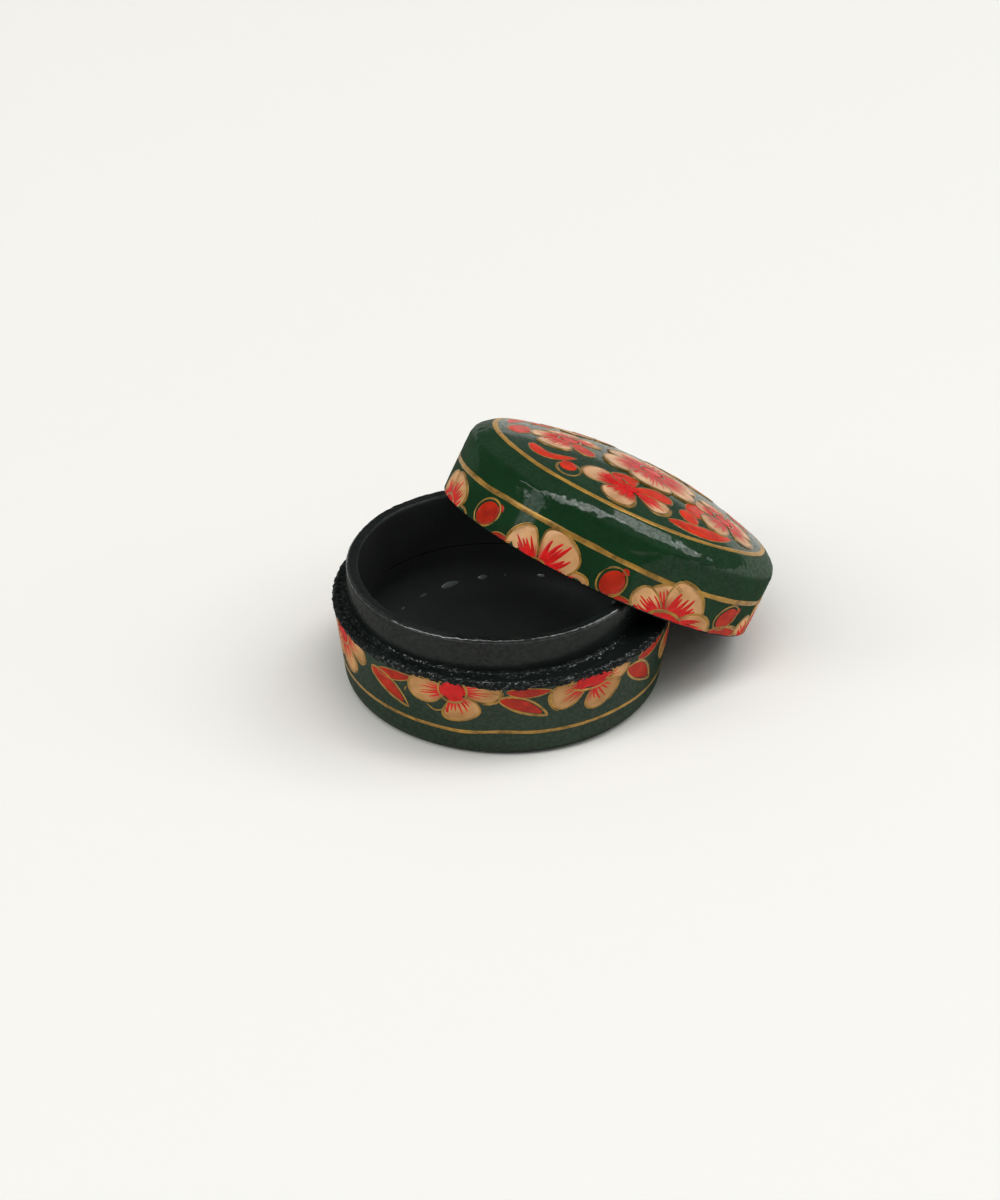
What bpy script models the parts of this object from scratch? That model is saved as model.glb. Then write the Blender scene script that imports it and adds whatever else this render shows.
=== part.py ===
"""Round papier-mache box: a moulded base with a glued neck ring, and its loose lid leaning on it.

The base stands on its foot with the foot's centre at the origin. The lid is off: the low side of
its rim rests on the table, and the rim's inner edge rests on the neck at two points.
"""

import math

import bmesh
import bpy
from mathutils import Matrix, Vector

# Base, in metres
BODY_RADIUS = 0.0321
BODY_HEIGHT = 0.0174
BODY_TAPER = 0.0020
SHOULDER_ROUND = 0.0007
FOOT_ROUND_IN = 0.0022
FOOT_ROUND_UP = 0.0040
FLOOR_THICKNESS = 0.0040
FLOOR_ROUND = 0.0060

# Neck ring glued into the base, a little off centre as the hand-made box has it
NECK_RISE = 0.0072
NECK_INSERT = 0.0048
NECK_WALL = 0.0022
NECK_LIP_ROUND = 0.0006
NECK_OFFSET_X = -0.0014
NECK_OFFSET_Y = -0.0008

# Lid
LID_INSET = 0.0004
LID_FLARE = 0.0002
LID_WALL = 0.0018
LID_RIM_ROUND = 0.0005
LID_SIDE_HEIGHT = 0.0133
LID_BEVEL_IN = 0.0029
LID_BEVEL_UP = 0.0022
LID_CROWN_RISE = 0.0048
LID_CROWN_THICKNESS = 0.0020
LID_EDGE_ROUND = 0.0024
LID_CEILING_ROUND = 0.0030

# Fits
LID_CLEARANCE = 0.0018
SEAT_GAP = 0.0003

# How the lid leans: which way, and where round the neck from there its rim rests
LEAN_TOWARDS = math.radians(37.0)
LEAN_CONTACT = math.radians(69.5)

# Facets
SEGMENTS = 72
ARC_STEPS = 5
CROWN_STEPS = 6
MERGE_DISTANCE = 0.000001
SMOOTH_ANGLE = math.radians(35)

# Sizes that follow from the ones above
LID_RIM_RADIUS = BODY_RADIUS - LID_INSET
LID_SIDE_RADIUS = LID_RIM_RADIUS + LID_FLARE
LID_BORE_RADIUS = LID_RIM_RADIUS - LID_WALL
NECK_RADIUS = LID_BORE_RADIUS - LID_CLEARANCE
NECK_BORE_RADIUS = NECK_RADIUS - NECK_WALL
NECK_TOP = BODY_HEIGHT + NECK_RISE
NECK_SEAT = BODY_HEIGHT - NECK_INSERT
NECK_CENTRE = Vector((NECK_OFFSET_X, NECK_OFFSET_Y, 0.0))
FOOT_RADIUS = BODY_RADIUS - BODY_TAPER - FOOT_ROUND_IN


def clear_scene():
    """Start from an empty scene."""
    for item in list(bpy.data.objects):
        bpy.data.objects.remove(item, do_unlink=True)


def material(name, colour, roughness):
    """A lacquered surface."""
    paint = bpy.data.materials.new(name)
    paint.use_nodes = True
    shader = paint.node_tree.nodes["Principled BSDF"]
    shader.inputs["Base Color"].default_value = (*colour, 1.0)
    shader.inputs["Roughness"].default_value = roughness
    shader.inputs["Metallic"].default_value = 0.0
    return paint


def arc(centre, radii, start, end, steps=ARC_STEPS):
    """Points (r, z) on an elliptical arc, angles in degrees from the outward direction."""
    points = []
    for step in range(steps + 1):
        angle = math.radians(start + (end - start) * step / steps)
        r = centre[0] + radii[0] * math.cos(angle)
        z = centre[1] + radii[1] * math.sin(angle)
        points.append((r, z))
    return points


def fillet(before, corner, after, radius, steps=ARC_STEPS):
    """Points (r, z) that round the corner of two straight runs."""
    corner = Vector(corner)
    to_before = (Vector(before) - corner).normalized()
    to_after = (Vector(after) - corner).normalized()
    half = to_before.angle(to_after) / 2.0
    reach = radius / math.tan(half)
    centre = corner + (to_before + to_after).normalized() * radius / math.sin(half)
    first = (corner + to_before * reach - centre).normalized()
    last = (corner + to_after * reach - centre).normalized()
    return [tuple(centre + first.slerp(last, step / steps) * radius) for step in range(steps + 1)]


def turned(name, outline, closed=False):
    """Turn an outline of (r, z) points about the Z axis into a solid."""
    shape = bmesh.new()
    points = [shape.verts.new((r, 0.0, z)) for r, z in outline]
    pairs = list(zip(points, points[1:]))
    if closed:
        pairs.append((points[-1], points[0]))
    runs = [shape.edges.new(pair) for pair in pairs]
    bmesh.ops.spin(shape, geom=points + runs, cent=(0.0, 0.0, 0.0), axis=(0.0, 0.0, 1.0),
                   angle=math.tau, steps=SEGMENTS, use_merge=True)
    bmesh.ops.remove_doubles(shape, verts=shape.verts, dist=MERGE_DISTANCE)
    bmesh.ops.recalc_face_normals(shape, faces=shape.faces)
    mesh = bpy.data.meshes.new(name)
    shape.to_mesh(mesh)
    shape.free()
    mesh.shade_smooth()
    mesh.set_sharp_from_angle(angle=SMOOTH_ANGLE)
    item = bpy.data.objects.new(name, mesh)
    bpy.context.scene.collection.objects.link(item)
    return item


def hollow_outline():
    """The base's hollow: rounded floor, inner wall, and the wider seat that takes the neck."""
    outline = [(0.0, FLOOR_THICKNESS)]
    outline += arc((NECK_BORE_RADIUS - FLOOR_ROUND, FLOOR_THICKNESS + FLOOR_ROUND),
                   (FLOOR_ROUND, FLOOR_ROUND), -90.0, 0.0)
    outline += [(NECK_BORE_RADIUS, NECK_SEAT), (NECK_RADIUS + SEAT_GAP, NECK_SEAT),
                (NECK_RADIUS + SEAT_GAP, NECK_TOP), (0.0, NECK_TOP)]
    return outline


def make_base():
    """Moulded base: flat foot, tapered side, rounded shoulder, and an off-centre hollow."""
    waist = BODY_RADIUS - BODY_TAPER
    outline = [(0.0, 0.0)]
    outline += arc((FOOT_RADIUS, FOOT_ROUND_UP), (FOOT_ROUND_IN, FOOT_ROUND_UP), -90.0, 0.0)
    outline += fillet((waist, FOOT_ROUND_UP), (BODY_RADIUS, BODY_HEIGHT), (0.0, BODY_HEIGHT),
                      SHOULDER_ROUND)
    outline += [(0.0, BODY_HEIGHT)]
    base = turned("base_shell", outline)
    cutter = turned("hollow_cutter", hollow_outline())
    cutter.location = NECK_CENTRE
    cutter.hide_render = True
    cutter.display_type = "WIRE"
    cut = base.modifiers.new("hollow", "BOOLEAN")
    cut.operation = "DIFFERENCE"
    cut.solver = "EXACT"
    cut.object = cutter
    base.data.materials.append(material("green_lacquer", (0.012, 0.045, 0.020), 0.30))
    return base


def make_neck():
    """Ring that stands up inside the shoulder and guides the lid."""
    bottom = NECK_SEAT + SEAT_GAP
    outline = [(NECK_BORE_RADIUS, bottom), (NECK_RADIUS, bottom)]
    outline += arc((NECK_RADIUS - NECK_LIP_ROUND, NECK_TOP - NECK_LIP_ROUND),
                   (NECK_LIP_ROUND, NECK_LIP_ROUND), 0.0, 90.0)
    outline += arc((NECK_BORE_RADIUS + NECK_LIP_ROUND, NECK_TOP - NECK_LIP_ROUND),
                   (NECK_LIP_ROUND, NECK_LIP_ROUND), 90.0, 180.0)
    neck = turned("neck_ring", outline, closed=True)
    neck.location = NECK_CENTRE
    neck.data.materials.append(material("black_lacquer", (0.006, 0.007, 0.007), 0.35))
    return neck


def crown(edge_radius, edge_height, rise):
    """Points (r, z) on a shallow domed crown, from its middle out to its edge."""
    ball = (edge_radius ** 2 + rise ** 2) / (2.0 * rise)
    points = []
    for step in range(CROWN_STEPS + 1):
        r = edge_radius * step / CROWN_STEPS
        points.append((r, edge_height + rise - ball + math.sqrt(ball ** 2 - r ** 2)))
    return points


def lid_outline():
    """The lid's section: crown, bevel, side and rim outside, then bore and ceiling inside."""
    side_top = (LID_SIDE_RADIUS, LID_SIDE_HEIGHT)
    rim_outer = (LID_RIM_RADIUS, 0.0)
    rim_inner = (LID_BORE_RADIUS, 0.0)
    crown_edge = (LID_SIDE_RADIUS - LID_BEVEL_IN, LID_SIDE_HEIGHT + LID_BEVEL_UP)
    ceiling_edge = LID_BORE_RADIUS - LID_CEILING_ROUND
    ceiling_height = crown_edge[1] - LID_CROWN_THICKNESS
    bore_top = (LID_BORE_RADIUS, ceiling_height - LID_CEILING_ROUND)
    outline = crown(crown_edge[0], crown_edge[1], LID_CROWN_RISE)
    outline += fillet(crown_edge, side_top, rim_outer, LID_EDGE_ROUND)
    outline += fillet(side_top, rim_outer, rim_inner, LID_RIM_ROUND)
    outline += fillet(rim_outer, rim_inner, bore_top, LID_RIM_ROUND)
    outline += arc((ceiling_edge, bore_top[1]), (LID_CEILING_ROUND, LID_CEILING_ROUND), 0.0, 90.0)
    outline += crown(ceiling_edge, ceiling_height, LID_CROWN_RISE)[-2::-1]
    return outline


def lean(lift):
    """Tilt, distance from the neck's centre and rim height of a lid that leans on neck and table.

    The rim's inner edge crosses the neck's lip at two points, LEAN_CONTACT round from the way it
    leans and so much above the lip, and the rim's lowest point is on the table.
    """
    lip = NECK_RADIUS - NECK_LIP_ROUND
    rim = LID_BORE_RADIUS + LID_RIM_ROUND
    half_width = lip * math.sin(LEAN_CONTACT)
    reach = math.sqrt(rim ** 2 - half_width ** 2)
    low_side = LID_RIM_RADIUS - LID_RIM_ROUND
    tilt = math.asin((NECK_TOP - NECK_LIP_ROUND + lift - LID_RIM_ROUND) / (low_side + reach))
    distance = lip * math.cos(LEAN_CONTACT) + reach * math.cos(tilt)
    height = low_side * math.sin(tilt) + LID_RIM_ROUND * (1.0 - math.cos(tilt))
    return tilt, distance, height


def rim_gap(tilt, distance, height):
    """Least gap between the leaning rim's inner edge and the neck's lip."""
    rim = LID_BORE_RADIUS + LID_RIM_ROUND
    lip = NECK_RADIUS - NECK_LIP_ROUND
    gaps = []
    for step in range(10 * SEGMENTS):
        angle = math.tau * step / (10 * SEGMENTS)
        along = rim * math.cos(angle)
        out = distance + along * math.cos(tilt) + LID_RIM_ROUND * math.sin(tilt)
        across = rim * math.sin(angle)
        up = height - along * math.sin(tilt) + LID_RIM_ROUND * math.cos(tilt)
        gaps.append(math.hypot(math.hypot(out, across) - lip, up - NECK_TOP + NECK_LIP_ROUND))
    return min(gaps) - LID_RIM_ROUND - NECK_LIP_ROUND


def seated_lean():
    """The lean whose rim lies SEAT_GAP off the neck's lip."""
    low = 0.0
    high = 4.0 * (LID_RIM_ROUND + NECK_LIP_ROUND + SEAT_GAP)
    while high - low > MERGE_DISTANCE:
        middle = (low + high) / 2.0
        if rim_gap(*lean(middle)) < SEAT_GAP:
            low = middle
        else:
            high = middle
    return lean(high)


def make_lid():
    """Domed lid, leaning as it was set down. Its origin is the centre of its rim."""
    lid = turned("lid_shell", lid_outline())
    tilt, distance, height = seated_lean()
    way = Vector((math.cos(LEAN_TOWARDS), math.sin(LEAN_TOWARDS), 0.0))
    centre = NECK_CENTRE + way * distance + Vector((0.0, 0.0, height))
    tilted = Matrix.Rotation(tilt, 4, Vector((-way.y, way.x, 0.0)))
    lid.matrix_world = Matrix.Translation(centre) @ tilted
    lid.data.materials.append(material("lid_green_lacquer", (0.010, 0.050, 0.020), 0.22))
    return lid


def main():
    clear_scene()
    make_base()
    make_neck()
    make_lid()


main()
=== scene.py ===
"""Painted papier-mache box with its lid off: the finished looks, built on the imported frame."""

import bisect
import math
import random

import bpy
from mathutils import Matrix, Vector, noise


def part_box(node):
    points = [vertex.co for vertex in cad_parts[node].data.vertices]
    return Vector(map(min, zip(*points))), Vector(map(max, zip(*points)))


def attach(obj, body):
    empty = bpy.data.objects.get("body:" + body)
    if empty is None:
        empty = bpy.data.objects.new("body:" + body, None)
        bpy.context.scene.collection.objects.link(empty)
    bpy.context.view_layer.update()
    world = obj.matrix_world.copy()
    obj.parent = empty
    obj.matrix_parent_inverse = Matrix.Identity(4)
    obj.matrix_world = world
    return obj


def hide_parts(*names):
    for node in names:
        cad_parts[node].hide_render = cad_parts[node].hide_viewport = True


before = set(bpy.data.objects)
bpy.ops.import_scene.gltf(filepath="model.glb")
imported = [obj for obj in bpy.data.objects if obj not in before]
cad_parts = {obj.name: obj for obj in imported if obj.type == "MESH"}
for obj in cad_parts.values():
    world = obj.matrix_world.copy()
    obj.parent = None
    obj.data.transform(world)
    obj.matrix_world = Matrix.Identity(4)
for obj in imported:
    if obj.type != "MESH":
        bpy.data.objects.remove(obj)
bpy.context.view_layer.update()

bl_info = {
    "name": "Painted papier-mache box",
    "version": (1, 0, 0),
    "blender": (4, 5, 0),
    "location": "View3D > Sidebar > Box",
    "description": "Builds a lacquered box with painted flowers, its loose lid and a plain stage",
    "category": "Object",
}

MM = 0.001
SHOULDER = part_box("base_shell")[1].z
NECK_LOW, NECK_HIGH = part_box("neck_ring")
NECK_CENTRE = Vector(((NECK_LOW.x + NECK_HIGH.x) / 2.0, (NECK_LOW.y + NECK_HIGH.y) / 2.0, 0.0))
SEAT_GAP = 0.3 * MM
SHARP_EDGE = math.radians(50.0)
WELD = 0.0005 * MM

# Seeds of the vector noise, of the wandering of base and lid, and of each brush's strokes
NOISE_SEED = 3
BASE_SEED, LID_SEED = 1.0, 2.0
LID_BRUSH, BASE_BRUSH, CROWN_BRUSH, LINE_BRUSH = 11, 23, 37, 5

# How long the waves of the hand-made surface are
WAVE_LENGTH = 15.0 * MM
# The lid's bare corner: where it begins on the crown and the side, and over what its lumps set in
BARE_RADIUS, BARE_HEIGHT, BARE_FADE = 29.4 * MM, 8.4 * MM, 0.8 * MM
# Its long and its fine lumps: their length, and their height in millimetres
LONG_LUMP, LONG_RISE, FINE_LUMP, FINE_RISE = 2.0 * MM, 0.075, 0.75 * MM, 0.022
# How far the side leans in towards the corner, from which height and over what
LEAN, LEAN_HEIGHT, LEAN_LENGTH = 0.08 * MM, 8.0 * MM, 4.0 * MM
# Where the lacquer grows thick on the lid's side
THICK_HEIGHT, THICK_FADE = 12.2 * MM, 0.8 * MM

# Where the columns of a broad dab and of a thin line lie, from its left edge to its right
WIDE_COLUMNS = (-1.0, -0.95, -0.5, 0.0, 0.5, 0.95, 1.0)
NARROW_COLUMNS = (-1.0, -0.6, 0.0, 0.6, 1.0)
ROWS = 14
# A stroke's sunk edge, a line's crest, and the thickness of paint and of the rough lacquer
SINK, CREST, PAINT_DEPTH, ROUGH_DEPTH = 0.03 * MM, 0.006 * MM, 0.12 * MM, 0.25 * MM
# How high each kind of stroke stands, in millimetres, and how far each petal lifts the next
GROUND, DISC, STREAK, OUTLINE, HOOP, LINE = 0.030, 0.034, 0.040, 0.046, 0.048, 0.045
PETAL_RISE = 0.028
# Strokes that lie on one another differ a little in height, in turn
TURNS, TURN_RISE = 40, 0.0001
# The circle on which places round the side are measured, in millimetres
SIDE_CIRCLE = 32.0


def srgb(red, green, blue):
    """A colour of a paint chart, 0 to 255 each, as the linear values that a shader takes."""
    return tuple(((c / 255.0 + 0.055) / 1.055) ** 2.4 if c > 10 else c / 3294.6
                 for c in (red, green, blue))


def size(name, value, about):
    """A length that a user may change, in metres."""
    return bpy.props.FloatProperty(name=name, description=about, default=value, min=0.0,
                                   precision=5, unit="LENGTH")


def colour(name, value, about):
    """A colour that a user may change."""
    return bpy.props.FloatVectorProperty(name=name, description=about, default=value, size=3,
                                         min=0.0, max=1.0, subtype="COLOR")


class BoxSizes(bpy.types.PropertyGroup):
    """Sizes of the box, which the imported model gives, and of its paint and lacquer."""
    body_radius: size("Body radius", 32.1 * MM, "Radius of the base at its shoulder")
    body_height: size("Body height", SHOULDER, "Height of the shoulder")
    foot_height: size("Foot height", 4.0 * MM, "Height at which the foot's curve meets the side")
    waist_radius: size("Waist radius", 30.1 * MM, "Radius where the foot's curve meets the side")
    foot_radius: size("Foot radius", 27.9 * MM, "Radius of the flat foot")
    floor_height: size("Floor height", 4.0 * MM, "Thickness of the base's floor")
    floor_round: size("Floor round", 6.0 * MM, "Radius of the curve from floor to wall")
    neck_radius: size("Neck radius", (NECK_HIGH.x - NECK_LOW.x) / 2.0, "Outer radius of the neck")
    neck_bore: size("Neck bore", 25.9 * MM, "Inner radius of the neck")
    neck_top: size("Neck top", NECK_HIGH.z, "Height of the neck's lip")
    lid_rim: size("Lid rim radius", 31.7 * MM, "Outer radius of the lid at its rim")
    lid_side: size("Lid side radius", 31.9 * MM, "Outer radius of the lid above its side")
    lid_bore: size("Lid bore", 29.9 * MM, "Inner radius of the lid")
    lid_side_height: size("Lid side height", 13.3 * MM, "Height of the lid's upright side")
    lid_crown_edge: size("Crown edge", 29.0 * MM, "Radius at which the crown begins")
    lid_crown_height: size("Crown edge height", 15.5 * MM, "Height of the crown's edge")
    lid_crown_rise: size("Crown rise", 4.8 * MM, "Rise of the crown above its edge")
    outline_width: size("Outline width", 0.50 * MM, "Width of the gold outlines")
    coat: size("Shoulder lacquer", 0.16 * MM, "Thickness of the rough lacquer on the shoulder")
    waviness: size("Waviness", 0.10 * MM, "How far the hand-made surface wanders")


class BoxColours(bpy.types.PropertyGroup):
    """Colours of the paint and lacquer."""
    lid_green: colour("Lid green", srgb(14, 50, 23), "Green ground of the lid")
    base_green: colour("Base green", srgb(24, 46, 28), "Green ground of the base")
    black: colour("Black", srgb(22, 27, 25), "Black lacquer of neck and shoulder")
    # The inside black is lighter than the black lacquer though it is one black: painted light in
    # the hollow's shade, on a duller finish
    inside_black_painted_light: colour("Inside black", srgb(54, 57, 55), "Duller black inside the box")
    # The lid's side and the base carry one cream paint: its copy on the base is darker, which is
    # painted shade
    cream: colour("Cream", srgb(234, 178, 122), "Petals round the lid's side")
    base_cream_painted_shade: colour("Base cream", srgb(214, 160, 102), "Petals round the base")
    pale_cream: colour("Pale cream", srgb(240, 190, 146), "Petals on the crown")
    blush: colour("Blush", srgb(206, 92, 66), "Petals towards the middle of a flower")
    crimson: colour("Crimson", srgb(208, 20, 16), "Streaks in the petals")
    vermilion: colour("Vermilion", srgb(176, 36, 10), "Leaves, buds and long strokes of the sides")
    crown_red: colour("Crown red", srgb(206, 44, 12), "Leaves, buds and petals of the crown")
    gold: colour("Gold", srgb(165, 123, 48), "Gold lines and outlines")
    floor: colour("Floor", srgb(246, 245, 240), "Pale floor")


def sizes():
    return bpy.context.scene.box_sizes


def colours():
    return bpy.context.scene.box_colours


# Outlines

def rounded(before, corner, after, radius, steps=10):
    """Points (r, z) that round the corner of two straight runs."""
    corner = Vector(corner)
    to_before = (Vector(before) - corner).normalized()
    to_after = (Vector(after) - corner).normalized()
    half = to_before.angle(to_after) / 2.0
    reach = radius / math.tan(half)
    centre = corner + (to_before + to_after).normalized() * radius / math.sin(half)
    first = (corner + to_before * reach - centre).normalized()
    last = (corner + to_after * reach - centre).normalized()
    return [tuple(centre + first.slerp(last, step / steps) * radius) for step in range(steps + 1)]


def arc(centre, radii, start, end, steps=12):
    """Points (r, z) on an elliptical arc, angles in degrees from the outward direction."""
    turns = [math.radians(start + (end - start) * step / steps) for step in range(steps + 1)]
    return [(centre[0] + radii[0] * math.cos(turn), centre[1] + radii[1] * math.sin(turn))
            for turn in turns]


def run(start, end, steps):
    """Points between two ends of a straight run, without the ends."""
    return [(start[0] + (end[0] - start[0]) * step / steps,
             start[1] + (end[1] - start[1]) * step / steps) for step in range(1, steps)]


def domed(edge_radius, edge_height, rise, steps=22):
    """Points (r, z) on a shallow dome, from near its middle to its edge."""
    ball = (edge_radius ** 2 + rise ** 2) / (2.0 * rise)
    radii = [edge_radius * step / steps for step in range(1, steps + 1)]
    return [(r, edge_height + rise - ball + math.sqrt(ball ** 2 - r ** 2)) for r in radii]


def base_side():
    """The base's outside from the foot up to the shoulder."""
    s = sizes()
    foot = arc((s.foot_radius, s.foot_height), (s.waist_radius - s.foot_radius, s.foot_height),
               -90.0, 0.0)
    waist = foot[-1]
    shoulder = rounded(waist, (s.body_radius, s.body_height), (0.0, s.body_height), 0.7 * MM)
    return foot + run(waist, shoulder[0], 12) + shoulder


def lid_outside():
    """The lid's outside from near the crown's middle down to its rim."""
    s = sizes()
    crown_edge = (s.lid_crown_edge, s.lid_crown_height)
    side_top = (s.lid_side, s.lid_side_height)
    rim = (s.lid_rim, 0.0)
    crown = domed(crown_edge[0], crown_edge[1], s.lid_crown_rise)
    crease = rounded(crown[-4], crown_edge, side_top, 6.0 * MM, 8)
    corner = rounded(crown_edge, side_top, rim, 3.4 * MM, 20)
    foot = rounded(side_top, rim, (0.0, 0.0), 0.5 * MM, 6)
    kept = [point for point in crown if point[0] < crease[0][0] - 0.2 * MM]
    if corner[0][0] < crease[-1][0] + 0.05 * MM:
        crease = [point for point in crease if point[0] < corner[0][0] - 0.05 * MM]
    return kept + crease + corner + run(corner[-1], foot[0], 26) + foot


def follow(outline, key):
    """Reads an outline at a radius (key 0) or a height (key 1): the place and outward slope."""
    points = sorted(outline, key=lambda point: point[key])
    marks = [point[key] for point in points]

    def at(value):
        place = min(max(bisect.bisect(marks, value), 1), len(marks) - 1)
        low, high = Vector(points[place - 1]), Vector(points[place])
        share = (value - marks[place - 1]) / max(marks[place] - marks[place - 1], 1e-9)
        spot = low.lerp(high, min(max(share, 0.0), 1.0))
        way = (high - low).normalized()
        slope = Vector((-way.y, way.x)) if key == 0 else Vector((way.y, -way.x))
        return spot, slope
    return at


def fade(value, start, length):
    """0 up to the start, and from there a rise to 1 over the length."""
    return min(max((value - start) / length, 0.0), 1.0)


def bumps(point, size_mm, *shift):
    """Smooth noise, from -1 to 1, with bumps of a size in millimetres."""
    return noise.noise(point / (size_mm * MM) + Vector(shift or (0.0, 0.0, 0.0)))


def hand_made(point, seed):
    """A point of the turned form, moved a little as papier-mache wanders."""
    drift = noise.noise_vector(point / WAVE_LENGTH + Vector((seed, 2.0 * seed, 0.0)))
    return point + drift * sizes().waviness


def lid_lumps(point):
    """Lumps of the thick lacquer on the lid's bare corner, which fade out where the paint lies."""
    radius = math.hypot(point.x, point.y)
    bare = fade(radius, BARE_RADIUS, BARE_FADE) * fade(point.z, BARE_HEIGHT, BARE_FADE)
    long_lumps = Vector((point.x, point.y, point.z * 1.8)) / LONG_LUMP
    lump = noise.noise_vector(long_lumps) * LONG_RISE * MM
    lump += noise.noise_vector(point / FINE_LUMP + Vector((5.0, 0.0, 0.0))) * FINE_RISE * MM
    lean = LEAN * fade(point.z, LEAN_HEIGHT, LEAN_LENGTH) ** 2
    inward = Vector((-point.x, -point.y, 0.0)) / max(radius, MM) * lean
    return (lump + inward) * bare


# Building

def clear_selection():
    """Object mode, with nothing selected."""
    if bpy.context.object and bpy.context.object.mode != "OBJECT":
        bpy.ops.object.mode_set(mode="OBJECT")
    bpy.ops.object.select_all(action="DESELECT")


def pick(piece):
    """The piece alone is selected and active."""
    clear_selection()
    piece.select_set(True)
    bpy.context.view_layer.objects.active = piece


def ring_by_ring(name, outline, segments, joined=False):
    """A circle at the outline's first point, drawn out ring by ring to its last.

    Each entry holds radius and height, and the middle's place where it isn't the origin. The ends
    close to a point, or join each other.
    """
    full = [(*entry, 0.0, 0.0)[:4] for entry in outline]
    radius, height, x, y = full[0]
    clear_selection()
    bpy.ops.mesh.primitive_circle_add(vertices=segments, radius=radius, location=(0.0, 0.0, 0.0))
    piece = bpy.context.object
    piece.name = piece.data.name = name
    bpy.ops.object.mode_set(mode="EDIT")
    bpy.ops.mesh.select_all(action="SELECT")
    bpy.ops.transform.translate(value=(x, y, height))
    for before, after in zip(full, full[1:]):
        step = (after[2] - before[2], after[3] - before[3], after[1] - before[1])
        bpy.ops.mesh.extrude_region_move(TRANSFORM_OT_translate={"value": step})
        scale = after[0] / before[0]
        bpy.ops.transform.resize(value=(scale, scale, 1.0),
                                 center_override=(after[2], after[3], after[1]))
    if not joined:
        bpy.ops.mesh.merge(type="CENTER")
    bpy.ops.object.mode_set(mode="OBJECT")
    vertices = piece.data.vertices
    first = set(range(segments))
    last = set(range(segments * (len(full) - 1), len(vertices))) if joined else set()
    for vertex in vertices:
        vertex.select = vertex.index in first or vertex.index in last
    for line in piece.data.edges:
        ends = set(line.vertices)
        line.select = joined and (ends <= first or ends <= last)
    bpy.ops.object.mode_set(mode="EDIT")
    if joined:
        bpy.ops.mesh.bridge_edge_loops()
    else:
        bpy.ops.mesh.merge(type="CENTER")
    bpy.ops.mesh.select_all(action="SELECT")
    bpy.ops.mesh.normals_make_consistent(inside=False)
    bpy.ops.object.mode_set(mode="OBJECT")
    bpy.ops.object.shade_smooth()
    return piece


def settle(piece, matrix):
    """The piece is put in place, and its place goes into its mesh."""
    pick(piece)
    piece.matrix_world = matrix
    bpy.ops.object.transform_apply(location=True, rotation=True, scale=True)


def smooth(piece):
    """Smooth shading all over, except across sharp edges."""
    piece.data.shade_smooth()
    piece.data.set_sharp_from_angle(angle=SHARP_EDGE)


def thicken(piece, thickness, trim=()):
    """Welds a sheet, trims it at each height to what is above or below, and gives it a back."""
    pick(piece)
    bpy.ops.object.mode_set(mode="EDIT")
    bpy.ops.mesh.select_all(action="SELECT")
    bpy.ops.mesh.remove_doubles(threshold=WELD)
    for height, keep_above in trim:
        bpy.ops.mesh.select_all(action="SELECT")
        bpy.ops.mesh.bisect(plane_co=(0.0, 0.0, height), plane_no=(0.0, 0.0, 1.0),
                            clear_inner=keep_above, clear_outer=not keep_above)
    bpy.ops.object.mode_set(mode="OBJECT")
    wall = piece.modifiers.new("thickness", "SOLIDIFY")
    wall.thickness = thickness
    wall.offset = -1.0
    bpy.ops.object.modifier_apply(modifier=wall.name)


def finish_piece(piece, body, slot, *stands_for):
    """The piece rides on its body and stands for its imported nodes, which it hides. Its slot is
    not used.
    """
    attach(piece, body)
    if stands_for:
        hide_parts(*stands_for)


def paint_faces(piece, materials, choose):
    """Gives the piece its materials, and each face the one that choose picks for it."""
    for paint in materials:
        piece.data.materials.append(paint)
    for face in piece.data.polygons:
        face.material_index = choose(face)


def lid_pose():
    """The leaning lid's place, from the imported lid: its crown's middle and its axis."""
    corners = {}
    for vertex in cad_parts["lid_shell"].data.vertices:
        key = tuple(round(value, 5) for value in vertex.co)
        corners.setdefault(key, []).append(vertex.co)
    middle = sum((group[0] for group in corners.values()), Vector()) / len(corners)
    poles = sorted(corners.values(), key=len)[-2:]
    apex = max((group[0] for group in poles), key=lambda point: point.z)
    axis = (apex - middle).normalized()
    height = max((apex - group[0]).dot(axis) for group in corners.values())
    turn = Vector((-axis.y, axis.x, 0.0)).normalized()
    tilt = math.acos(axis.z)
    return Matrix.Translation(apex - axis * height) @ Matrix.Rotation(tilt, 4, turn)


# Finishes

def set_inputs(node, values):
    """Constants on a node's own sockets."""
    for socket, value in values.items():
        node.inputs[socket].default_value = value


def add_node(tree, kind, inputs=(), **settings):
    """A new node with its settings, and then the constants of its inputs."""
    made = tree.nodes.new(kind)
    for name, value in settings.items():
        setattr(made, name, value)
    set_inputs(made, dict(inputs))
    return made


def wire(tree, *links):
    """Links, each from a node's output to a node's input."""
    for source, output, target, socket in links:
        tree.links.new(source.outputs[output], target.inputs[socket])


def colour_ramp(tree, *stops):
    """A colour ramp through its stops, each a place from 0 to 1 and a colour, in order."""
    made = add_node(tree, "ShaderNodeValToRGB")
    marks = made.color_ramp.elements
    marks[0].position, marks[1].position = stops[0][0], stops[-1][0]
    for place, _ in stops[1:-1]:
        marks.new(place)
    for mark, (_, tint) in zip(marks, stops):
        mark.color = (*tint, 1.0)
    return made


def map_range(tree, source, output, start, end, low, high):
    """A node that turns an output, from start to end, into a value from low to high."""
    made = add_node(tree, "ShaderNodeMapRange", {"From Min": start, "From Max": end,
                                                 "To Min": low, "To Max": high})
    wire(tree, (source, output, made, "Value"))
    return made


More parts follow.
